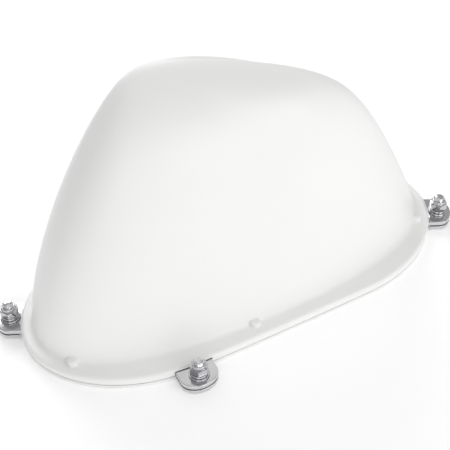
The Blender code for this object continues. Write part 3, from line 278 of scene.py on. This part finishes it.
def hood_shape(feet):
    """Outer skin: flange wall, rounded edge, shelf, hollow fillet and wall; inner skin one wall inside it."""
    turn = turns_around(HOOD_TURNS, feet)
    edge, foot = tray_outline(turn), foot_outline(turn)
    inwards = foot - edge
    span = np.linalg.norm(inwards, axis=-1, keepdims=True)
    inwards = inwards / span
    slot = slot_mask(edge, feet)
    low = np.where(slot, LUG_TOP + SLOT_ABOVE, FLANGE_LOW)

    def ring(inset, height):
        return np.column_stack([edge + inwards * inset, np.broadcast_to(height, turn.shape)])

    start = hood_wall(turn, np.linspace(0, 1, RISE_SAMPLES)[:-1, None])
    rows = [ring(0, low), ring(0, np.maximum(low, FLANGE_TOP - FLANGE_ROUND))]
    for a in np.linspace(0, math.pi / 2, 9)[1:]:
        height = FLANGE_TOP - FLANGE_ROUND * (1 - math.sin(a))
        rows.append(ring(FLANGE_ROUND * (1 - math.cos(a)), np.maximum(height, low + LEAST_STEP)))
    for share in np.linspace(0, 1, 7)[1:]:
        rows.append(ring(FLANGE_ROUND + (span[:, 0] - FLANGE_ROUND - SHELF_END)[:, None] * share, FLANGE_TOP))
    shelf_end = rows[-1]
    join_height = FOOT_HEIGHT + FILLET_RISE
    first = np.argmax(start[..., 2] >= join_height, 0)
    index = np.arange(len(turn))
    above, under = start[first, index], start[first - 1, index]
    mix = ((join_height - under[:, 2]) / (above[:, 2] - under[:, 2]))[:, None]
    wall_start = under + (above - under) * mix
    corner = level(foot, FLANGE_TOP)
    for s in np.linspace(0, 1, 10)[1:]:
        rows.append((1 - s) ** 2 * shelf_end + 2 * s * (1 - s) * corner + s ** 2 * wall_start)
    begin = (first - 1 + mix[:, 0]) / (RISE_SAMPLES - 1)
    w = np.concatenate([np.linspace(0, 0.8, 66)[1:], 1 - 0.2 * (1 - np.linspace(0, 1, 40)[1:]) ** 1.5])[:-1]
    rise = begin[None] + (1 - begin[None]) * w[:, None]
    outer = np.concatenate([np.stack(rows), hood_wall(turn, rise)])
    tip = hood_wall(turn[:1], np.ones((1, 1)))[0, 0]
    inner_wall = hood_wall(turn, np.linspace(0, 1, 32)[:-1, None])
    inner_wall = inner_wall - surface_normals(inner_wall) * WALL
    inset_in = level(inner_wall[0, :, :2], FLANGE_TOP - WALL)
    land = [ring(FLANGE_LAND, np.maximum(low, FLANGE_LOW)),
            ring(FLANGE_LAND, np.maximum(low, FLANGE_LOW + 1.5 * MM)),
            ring(WALL + 0.6 * MM, np.maximum(low, FLANGE_TOP - WALL)), inset_in]
    inner = np.concatenate([np.stack(land), inner_wall])
    columns = len(turn)
    shell = np.concatenate([inner[::-1], outer])
    points = np.concatenate([shell.reshape(-1, 3), [tip - [0, 0, WALL]], [tip]])
    quads = grid_quads(len(shell), columns)
    j = np.arange(columns)
    beside = (j + 1) % columns
    last = (len(shell) - 1) * columns
    bottom = np.stack([beside, j, np.full(columns, len(points) - 2)], -1)
    top = np.stack([last + j, last + beside, np.full(columns, len(points) - 1)], -1)
    return points.tolist(), quads.tolist() + bottom.tolist() + top.tolist()


def make_hood(finish, feet):
    """The moulded hood, closed at its tip by two fans of triangles."""
    points, faces = hood_shape(feet)
    mesh = bpy.data.meshes.new("hood")
    mesh.from_pydata(points, [], faces)
    mesh.shade_smooth()
    mesh.set_sharp_from_angle(angle=math.radians(38))
    mesh.materials.append(finish)
    hood = linked("hood", mesh)
    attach(hood, "base")
    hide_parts("hood_shell")


def make_bosses(finish):
    """Domed posts over the hood screws: straight side, rounded top and a flared foot on the flange."""
    a, b = np.linspace(0, math.pi / 2, 9), np.linspace(0, math.pi / 2, 7)
    flare = np.stack([BOSS_RADIUS + BOSS_FLARE * (1 - np.sin(b)), BOSS_FOOT + BOSS_FLARE * (1 - np.cos(b))], -1)
    dome = np.stack([BOSS_RADIUS - BOSS_ROUND * (1 - np.cos(a)),
                     BOSS_TOP - BOSS_ROUND + BOSS_ROUND * np.sin(a)], -1)
    flat = np.array([[2.0 * MM, BOSS_TOP + 0.08 * MM], [0.02 * MM, BOSS_TOP + 0.1 * MM]])
    post = turned(np.concatenate([flare, dome, flat]), 40)
    parts = []
    for node in frame["nodes"]:
        if not node.startswith("hood_screw"):
            continue
        low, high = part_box(node)
        parts.append(placed(post, upright(low, high)))
    mesh_piece("hood_screw_posts", *join(*parts), finish, "base", slot="white_gloss_shell")


def make_tray(finish):
    """Chamfered foot, softened rim, shallow border below and a floor inside, as (inset, height) in mm."""
    turn = np.linspace(0, 2 * math.pi, TRAY_TURNS, endpoint=False)
    profile = [(30, 0.8), (26, 0.8), (25, 0.0), (1.6, 0.0), (0.9, 0.2), (0.3, 0.7), (0, 1.5), (0, 5.1),
               (0.2, 5.5), (0.6, 5.7), (24, 5.7), (25, 3.0), (60, 3.0), (100, 3.0)]
    rings = [level(tray_outline(turn, inset * MM), z * MM) for inset, z in profile]
    middle = tray_outline(turn) * 0.002
    shell = np.stack([level(middle, 0.8 * MM)] + rings + [level(middle, 3.0 * MM)])
    mesh_piece("tray", shell.reshape(-1, 3), grid_quads(len(shell), len(turn)), finish, "base", ["base_tray"],
               "white_tray")


def make_gasket(finish):
    """A strip with a slightly bulging outside, as (inset in mm, height in metres)."""
    turn = np.linspace(0, 2 * math.pi, TRAY_TURNS, endpoint=False)
    low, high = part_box("perimeter_gasket")
    profile = [(5.4, low.z), (1.3, low.z), (1.0, (low.z + high.z) / 2), (1.3, high.z), (5.4, high.z)]
    rings = np.stack([level(tray_outline(turn, inset * MM), z) for inset, z in profile])
    quads = grid_quads(len(rings), len(turn), wrap_rows=True)
    mesh_piece("seal_strip", rings.reshape(-1, 3), quads, finish, "base", ["perimeter_gasket"], "black_rubber")


# ---- the feet ------------------------------------------------------------------------------------
def tongue_outline(inner_edge, inset=0.0):
    """A straight tongue with a half-ellipse tip, every point moved inwards by inset along its own normal."""
    a = np.linspace(0, math.pi, 49)
    tip = np.stack([LUG_HALF * np.cos(a), LUG_TIP * np.sin(a)], -1)
    normal = np.stack([np.cos(a) / LUG_HALF, np.sin(a) / LUG_TIP], -1)
    normal /= np.linalg.norm(normal, axis=-1, keepdims=True)
    tip = tip - normal * inset
    y = np.linspace(0, inner_edge + inset, 8)[1:]
    left = np.stack([np.full(len(y), -LUG_HALF + inset), y], -1)
    x = np.linspace(-LUG_HALF + inset, LUG_HALF - inset, 12)[1:-1]
    base = np.stack([x, np.full(len(x), inner_edge + inset)], -1)
    right = np.stack([np.full(len(y), LUG_HALF - inset), y[::-1]], -1)
    return np.concatenate([tip, left, base, right])


def hole_ring(outline, radius):
    """Points on a circle, one for each point of the outline in the same direction."""
    direction = outline / np.linalg.norm(outline, axis=-1, keepdims=True)
    return direction * radius


def tongue_plate(inner_edge, low, high, edge, hole):
    """A plate with its rim rounded by quarter circles and a hole for the stud with a small countersink."""
    a = np.linspace(0, math.pi / 2, 5)
    rows = []
    for s, c in zip(np.sin(a), np.cos(a)):
        rows.append((edge * (1 - s), low + edge * (1 - c)))
    for s, c in zip(np.sin(a[::-1]), np.cos(a[::-1])):
        rows.append((edge * (1 - s), high - edge * (1 - c)))
    rings = [level(tongue_outline(inner_edge, inset), z) for inset, z in rows]
    base = tongue_outline(inner_edge)
    sink = 0.4 * MM
    bore = [(hole + sink, high), (hole, high - sink), (hole, low + sink), (hole + sink, low)]
    rings = np.stack(rings + [level(hole_ring(base, radius), z) for radius, z in bore])
    return rings.reshape(-1, 3), grid_quads(len(rings), len(base), wrap_rows=True)


def threaded_stud(low, high, radius=STUD_RADIUS, pitch=1.75 * MM, depth=0.95 * MM):
    """A helical thread: r = R - d |2 f - 1| with f = z / pitch - a / 2 pi, fading into a domed tip."""
    rows, turns = 120, 48
    z = np.linspace(low, high - TIP_HEIGHT, rows)[:, None]
    angle = np.linspace(0, 2 * math.pi, turns, endpoint=False)[None]
    wave = (z / pitch - angle / (2 * math.pi)) % 1.0
    fade = np.clip((high - TIP_HEIGHT - z) / THREAD_FADE, 0, 1)
    r = radius - depth * np.abs(2 * wave - 1) * fade - TIP_STEP * (1 - fade)
    thread = np.stack([r * np.cos(angle), r * np.sin(angle), z + 0 * angle], -1)
    t = np.linspace(0, math.pi / 2, 8)[1:, None]
    cap_r = (radius - TIP_STEP) * np.cos(t * 0.999)
    cap_z = high - TIP_HEIGHT + TIP_HEIGHT * np.sin(t) + 0 * angle
    cap = np.stack([cap_r * np.cos(angle), cap_r * np.sin(angle), cap_z], -1)
    shell = np.concatenate([thread, cap])
    return shell.reshape(-1, 3), grid_quads(len(shell), turns)


def hex_nut(low):
    """Hexagon r = f / cos(a mod 60 - 30), its corners cut by 30 degree cones top and bottom, then a
    round collar whose lip is rolled in over the nylon ring."""
    turns = 144
    angle = np.linspace(0, 2 * math.pi, turns, endpoint=False)
    wide = NUT_HALF / np.cos(np.mod(angle, math.pi / 3) - math.pi / 6)
    face = NUT_HALF * NUT_FACE
    drop = (wide - face) * math.tan(math.radians(30))
    high = low + NUT_HEX
    bore, collar = BORE, COLLAR_RADIUS
    top = high + NUT_COLLAR

    def ring(r, z):
        r = np.broadcast_to(r, angle.shape)
        return np.stack([r * np.cos(angle), r * np.sin(angle), np.broadcast_to(z, angle.shape)], -1)

    rows = [ring(bore, low + 0.6 * MM), ring(bore + 0.6 * MM, low), ring(face, low), ring(wide, low + drop),
            ring(wide, high - drop), ring(face, high), ring(collar + 0.5 * MM, high),
            ring(collar, high + 0.4 * MM), ring(collar, top - NUT_LIP)]
    for a in np.linspace(0, math.pi / 2, 6)[1:]:
        rows.append(ring(collar - NUT_LIP * (1 - math.cos(a)), top - NUT_LIP + NUT_LIP * math.sin(a)))
    rows += [ring(bore + 0.15 * MM, top - 0.1 * MM), ring(bore, top - 0.8 * MM)]
    shell = np.stack(rows)
    return shell.reshape(-1, 3), grid_quads(len(shell), turns, wrap_rows=True)


def split_washer(low, high, inner, outer):
    """A square section swept 356 degrees, rising by the height of its split: z = z0 + h a / 2 pi."""
    section = rounded_ring(inner, outer, 0, high - low - SPLIT_RISE, 0.3 * MM, 3)
    angle = np.radians(np.linspace(3, 357, 90))[:, None]
    r, z = section[None, :, 0], section[None, :, 1]
    height = low + z + SPLIT_RISE * angle / (2 * math.pi)
    points = np.stack([r * np.cos(angle), r * np.sin(angle), height], -1)
    quads = grid_quads(len(angle), section.shape[0])
    ends = []
    for row in (0, len(angle) - 1):
        ring = row * section.shape[0] + np.arange(section.shape[0])
        half = len(ring) // 2
        pairs = np.stack([ring[:half - 1], ring[1:half], ring[::-1][1:half], ring[::-1][:half - 1]], -1)
        ends.append(pairs)
    return points.reshape(-1, 3), np.concatenate([quads[:, ::-1]] + [ends[0]] + [ends[1][:, ::-1]])


def make_feet(finishes, feet):
    """Lower plate with its stud, pad, lug, washer, split washer and lock nut at each foot."""
    steel, bright, rubber, nylon = finishes
    for name, matrix in feet.items():
        plate = join(placed(tongue_plate(-REACH + MM, 0.0, PLATE_TOP, 0.9 * MM, 2 * MM), matrix),
                     placed(threaded_stud(PLATE_TOP - 0.5 * MM, STUD_TOP), matrix))
        mesh_piece(f"lower_plate_{name}", *plate, steel, "base", [f"roof_plate_{name}"], "stainless_steel")
        pad = placed(tongue_plate(-REACH + MM, PAD_LOW, PAD_TOP, 0.3 * MM, BORE), matrix)
        mesh_piece(f"pad_{name}", *pad, rubber, "base", [f"isolation_pad_{name}"], "black_rubber")
        lug = placed(tongue_plate(-REACH - LUG_INSIDE, LUG_LOW, LUG_TOP, 0.8 * MM, BORE), matrix)
        mesh_piece(f"lug_{name}", *lug, steel, "base", [f"mounting_lug_{name}"], "stainless_steel")
        washer = rounded_ring(BORE, WASHER_RADIUS, WASHER_LOW, WASHER_LOW + WASHER_THICK, 0.4 * MM)
        washer = placed(ring_piece(washer), matrix)
        mesh_piece(f"washer_{name}", *washer, bright, "base", [f"flat_washer_{name}"], "stainless_steel")
        spring = placed(split_washer(SPRING_LOW, SPRING_LOW + SPRING_THICK, BORE, SPRING_RADIUS), matrix)
        mesh_piece(f"split_washer_{name}", *spring, bright, "base", [f"spring_washer_{name}"],
                   "stainless_steel")
        nut = placed(hex_nut(NUT_LOW), matrix)
        mesh_piece(f"nut_{name}", *nut, bright, "base", [f"lock_nut_{name}"], "stainless_steel", sharp=24)
        top = NUT_LOW + NUT_HEX + NUT_COLLAR
        ring = rounded_ring(STUD_RADIUS - 0.05 * MM, STUD_RADIUS + MM, top - 2.2 * MM, top - 0.4 * MM,
                            0.2 * MM, 3)
        ring = placed(ring_piece(ring, 48), matrix)
        mesh_piece(f"nylon_ring_{name}", *ring, nylon, "base", slot="white_acetal")


def make_screws(finish):
    """Pan heads with a hexagon socket, seen from below."""
    for node in frame["nodes"]:
        if not node.startswith("hood_screw"):
            continue
        low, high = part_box(node)
        z = low.z
        profile = [(0.05 * MM, z + 1.5 * MM), (1.5 * MM, z + 1.5 * MM), (1.6 * MM, z + 0.1 * MM),
                   (1.8 * MM, z), (3.1 * MM, z), (3.6 * MM, z + 0.3 * MM), (3.8 * MM, z + 0.9 * MM),
                   (3.8 * MM, z + 2.2 * MM), (2 * MM, z + 2.2 * MM), (2 * MM, high.z - MM), (MM, high.z),
                   (0.05 * MM, high.z)]
        screw = placed(turned(profile, 36), upright(low, high))
        mesh_piece(node.replace("hood_screw", "cover_screw"), *screw, finish, "base", [node], "stainless_steel")


def make_underside_fittings(rubber, plastic):
    """The cable sleeve and the pressure vent in the tray's floor."""
    low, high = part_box("cable_grommet")
    z, t, out = low.z, high.z, (high.x - low.x) / 2
    profile = [(7 * MM, z + 0.6 * MM), (7.6 * MM, z), (9.1 * MM, z), (9.1 * MM, 3.3 * MM),
               (out - 0.4 * MM, 3.3 * MM), (out, 3.8 * MM), (out - 0.5 * MM, t - 0.2 * MM), (out - MM, t),
               (7.6 * MM, t), (7 * MM, t - 0.6 * MM)]
    sleeve = placed(ring_piece(profile, 56), upright(low, high))
    mesh_piece("cable_sleeve", *sleeve, rubber, "base", ["cable_grommet"], "black_rubber")
    low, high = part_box("vent_plug")
    profile = [(0.05 * MM, low.z + 0.5 * MM), (3 * MM, low.z + 0.5 * MM), (3.2 * MM, low.z), (4 * MM, low.z),
               (4 * MM, 3.3 * MM), (6.7 * MM, 3.3 * MM), (7 * MM, 3.7 * MM), (6.6 * MM, 5.3 * MM),
               (3 * MM, high.z - 0.1 * MM), (0.05 * MM, high.z)]
    vent = placed(turned(profile, 40), upright(low, high))
    mesh_piece("pressure_vent", *vent, plastic, "base", ["vent_plug"], "black_plastic")


# ---- materials -----------------------------------------------------------------------------------
def linear(code):
    """sRGB hex to linear: c / 12.92 below 0.04045, else ((c + 0.055) / 1.055) ^ 2.4."""
    value = np.array([int(code[i:i + 2], 16) for i in (0, 2, 4)]) / 255
    value = np.where(value <= 0.04045, value / 12.92, ((value + 0.055) / 1.055) ** 2.4)
    return (*value.tolist(), 1.0)


def add_node(tree, kind, settings=(), links=()):
    """Adds a node; settings set its properties or inputs, links join (output socket, its own input name)."""
    node = tree.nodes.new(kind)
    for key, value in dict(settings).items():
        if hasattr(node, key) and key not in node.inputs:
            setattr(node, key, value)
        else:
            node.inputs[key].default_value = value
    for source, key in links:
        tree.links.new(source, node.inputs[key])
    return node


def finish_of(name, colour, roughness, metallic=0.0, coat=0.0, ior=1.46, spread=0.0, grain=1.0, bump=0.0,
              bump_size=3.0, streak=None, tint=0.0):
    """A Principled surface whose colour, roughness and height vary by noise of a real size in millimetres."""
    made = bpy.data.materials.new(name)
    made.use_nodes = True
    tree = made.node_tree
    shader = tree.nodes["Principled BSDF"]
    shader.inputs["Metallic"].default_value = metallic
    shader.inputs["Coat Weight"].default_value = coat
    shader.inputs["Coat Roughness"].default_value = 0.12
    if not metallic:
        shader.inputs["IOR"].default_value = ior
    place = add_node(tree, "ShaderNodeTexCoord")
    stretch = streak or (1.0, 1.0, 1.0)
    mapping = add_node(tree, "ShaderNodeMapping", {"Scale": stretch}, [(place.outputs["Object"], "Vector")])
    noise = add_node(tree, "ShaderNodeTexNoise", {"Scale": 1000 / grain, "Detail": 4.0, "Roughness": 0.55},
                     [(mapping.outputs["Vector"], "Vector")])
    limits = {"From Min": 0.3, "From Max": 0.7, "To Min": roughness - spread, "To Max": roughness + spread}
    rough = add_node(tree, "ShaderNodeMapRange", limits, [(noise.outputs["Fac"], "Value")])
    tree.links.new(rough.outputs["Result"], shader.inputs["Roughness"])
    cloud = add_node(tree, "ShaderNodeTexNoise", {"Scale": 1000 / (grain * 30), "Detail": 3.0},
                     [(place.outputs["Object"], "Vector")])
    ramp = add_node(tree, "ShaderNodeValToRGB", {}, [(cloud.outputs["Fac"], "Fac")])
    base = np.array(linear(colour)[:3])
    ramp.color_ramp.elements[0].position = 0.35
    ramp.color_ramp.elements[1].position = 0.65
    ramp.color_ramp.elements[0].color = (*(base * (1 - tint)).tolist(), 1)
    ramp.color_ramp.elements[1].color = (*base.tolist(), 1)
    tree.links.new(ramp.outputs["Color"], shader.inputs["Base Color"])
    if bump:
        ripple = add_node(tree, "ShaderNodeTexNoise", {"Scale": 1000 / bump_size, "Detail": 2.0},
                          [(mapping.outputs["Vector"], "Vector")])
        raised = add_node(tree, "ShaderNodeBump", {"Strength": 1.0, "Distance": bump * MM},
                          [(ripple.outputs["Fac"], "Height")])
        tree.links.new(raised.outputs["Normal"], shader.inputs["Normal"])
    return made


def make_finishes():
    return {
        # UV-stable ABS, sprayed: satin white with a faint orange peel
        "hood_paint": finish_of("sprayed_abs_white", "F4F4F3", 0.36, ior=1.5, spread=0.03, grain=6,
                                bump=0.012,
                                bump_size=5, tint=0.012),
        # the same plastic as moulded, a little duller
        "tray_paint": finish_of("moulded_abs_white", "F1F1F0", 0.42, ior=1.5, spread=0.04, grain=5,
                                bump=0.01,
                                bump_size=2.5, tint=0.015),
        # laser-cut stainless sheet, tumbled and polished: soft streaks along the sheet
        "plate_steel": finish_of("polished_stainless_sheet", "D6D6D8", 0.17, metallic=1.0,
                                 spread=0.05, grain=1.2,
                                 bump=0.004, bump_size=1.2, streak=(1, 5, 1), tint=0.05),
        # cold-headed fasteners: brighter, smoother
        "fastener_steel": finish_of("cold_headed_stainless", "C9C9CC", 0.1, metallic=1.0,
                                    spread=0.04, grain=0.8,
                                    bump=0.003, bump_size=0.9, tint=0.05),
        # moulded EPDM: matt black
        "rubber": finish_of("moulded_epdm_rubber", "191919", 0.72, ior=1.52, spread=0.08,
                            grain=0.8, bump=0.02,
                            bump_size=0.6, tint=0.3),
        # undyed nylon insert
        "nylon": finish_of("natural_nylon", "E6E8EA", 0.45, ior=1.53, spread=0.05, grain=1, bump=0.006,
                           bump_size=0.8, tint=0.05),
        # moulded black ABS
        "black_plastic": finish_of("black_abs", "1E1E20", 0.45, ior=1.5, spread=0.06, grain=0.7, bump=0.01,
                                   bump_size=0.5, tint=0.2),
        # turned steel with bright zinc plate
        "zinc_plated_steel": finish_of("bright_zinc_plate", "BFC3C8", 0.3, metallic=1.0,
                                       spread=0.07, grain=1.5,
                                       bump=0.004, bump_size=1, tint=0.08),
        # milled aluminium, bead blasted
        "aluminium_plate": finish_of("bead_blasted_aluminium", "C9CACC", 0.42, metallic=1.0,
                                     spread=0.05, grain=0.5,
                                     bump=0.012, bump_size=0.35, tint=0.05),
        # lacquered steel cans of the motors
        "motor_can": finish_of("black_lacquered_steel", "26272A", 0.38, ior=1.5, coat=0.3,
                               spread=0.05, grain=1.0,
                               bump=0.006, bump_size=0.8, tint=0.15),
        # moulded gears
        "white_acetal": finish_of("natural_acetal", "E4E2DA", 0.4, ior=1.48, spread=0.05, grain=2,
                                  bump=0.005,
                                  bump_size=1.0, tint=0.04),
        # oil-filled bearing bushes
        "sintered_bronze": finish_of("sintered_bronze", "A8834C", 0.42, metallic=1.0, spread=0.08,
                                     grain=0.4,
                                     bump=0.02, bump_size=0.3, tint=0.25),
        # case of the receiving head
        "grey_head_case": finish_of("grey_asa_moulding", "8A8D90", 0.48, ior=1.5, spread=0.05,
                                    grain=0.8, bump=0.012,
                                    bump_size=0.5, tint=0.06),
        # solder mask over the board
        "green_circuit_board": finish_of("green_solder_mask", "1F5A34", 0.32, ior=1.55, coat=0.4,
                                         spread=0.06,
                                         grain=0.5, bump=0.01, bump_size=0.8, tint=0.3),
        # pressed dish, powder coated
        "light_grey_dish": finish_of("powder_coated_dish", "C8CACC", 0.5, ior=1.5, spread=0.05, grain=0.6,
                                     bump=0.015, bump_size=0.6, tint=0.04),
    }


def finish_cad_nodes(finishes):
    """The pieces under the hood keep their shapes from the part and take the finish of their slot."""
    same = {"stainless_steel": "fastener_steel", "black_rubber": "rubber", "white_gloss_shell": "hood_paint",
            "white_tray": "tray_paint"}
    for part in frame["record"]["subparts"]:
        slot = part["material_slot"]
        node = frame["nodes"][part["node"]]
        material = finishes[same.get(slot, slot)]
        if not node.data.materials:
            node.data.materials.append(material)
        for index in range(len(node.data.materials)):
            node.data.materials[index] = material


# ---- studio --------------------------------------------------------------------------------------
def aimed(position, target):
    """A matrix at position whose -Z points at the target and whose Y is as upright as it can be."""
    back = (Vector(position) - Vector(target)).normalized()
    side = Vector((0, 0, 1)).cross(back).normalized()
    up = back.cross(side)
    columns = Matrix((side, up, back)).transposed().to_4x4()
    return Matrix.Translation(position) @ columns


def soft_box(name, position, target, size, power):
    """A rectangular area light."""
    light = bpy.data.lights.new(name, "AREA")
    light.shape = "RECTANGLE"
    light.size, light.size_y = size
    light.energy = power
    linked(name, light).matrix_world = aimed(position, target)


def make_camera():
    camera = bpy.data.cameras.new("camera")
    camera.lens, camera.sensor_width = LENS_MM, SENSOR_MM
    camera.shift_x, camera.shift_y = LENS_SHIFT
    camera.clip_start, camera.clip_end = 0.01, 50
    eye = linked("camera", camera)
    eye.matrix_world = aimed(Vector(EYE_DIRECTION).normalized() * EYE_DISTANCE, (0, 0, 0))
    bpy.context.scene.camera = eye


def make_sky():
    """A world that is a little darker at the horizon than above it."""
    world = bpy.data.worlds.new("studio")
    world.use_nodes = True
    tree, sky = world.node_tree, world.node_tree.nodes["Background"]
    place = add_node(tree, "ShaderNodeTexCoord")
    height = add_node(tree, "ShaderNodeSeparateXYZ", {}, [(place.outputs["Generated"], "Vector")])
    ramp = add_node(tree, "ShaderNodeValToRGB", {}, [(height.outputs["Z"], "Fac")])
    low, high = ramp.color_ramp.elements
    low.position, low.color = 0.0, (SKY_HORIZON, SKY_HORIZON, SKY_HORIZON, 1)
    high.position, high.color = SKY_WHITE_FROM, (1, 1, 1, 1)
    tree.links.new(ramp.outputs["Color"], sky.inputs["Color"])
    sky.inputs["Strength"].default_value = SKY_STRENGTH
    bpy.context.scene.world = world


def make_floor():
    """A white paper floor that glows a little, so that it renders as a plain ground."""
    h = FLOOR_HALF
    mesh = bpy.data.meshes.new("floor")
    mesh.from_pydata([(-h, -h, FLOOR_Z), (h, -h, FLOOR_Z), (h, h, FLOOR_Z), (-h, h, FLOOR_Z)], [], [(0, 1, 2, 3)])
    paper = bpy.data.materials.new("white_paper_sweep")
    paper.use_nodes = True
    look = paper.node_tree.nodes["Principled BSDF"].inputs
    look["Base Color"].default_value = linear("FCFCFC")
    look["Roughness"].default_value = 0.9
    look["Emission Color"].default_value = (1, 1, 1, 1)
    look["Emission Strength"].default_value = FLOOR_GLOW
    mesh.materials.append(paper)
    floor = linked("floor", mesh)


def make_studio():
    make_camera()
    make_sky()
    bpy.context.scene.view_settings.view_transform = "Standard"
    for name, position, size, power in LIGHTS:
        soft_box(name, position, LIGHTS_AIM, size, power)
    make_floor()


finishes = make_finishes()
feet = foot_frames()
finish_cad_nodes(finishes)
make_hood(finishes["hood_paint"], feet)
make_bosses(finishes["hood_paint"])
make_tray(finishes["tray_paint"])
make_gasket(finishes["rubber"])
make_feet((finishes["plate_steel"], finishes["fastener_steel"], finishes["rubber"], finishes["nylon"]), feet)
make_screws(finishes["fastener_steel"])
make_underside_fittings(finishes["rubber"], finishes["black_plastic"])
make_studio()
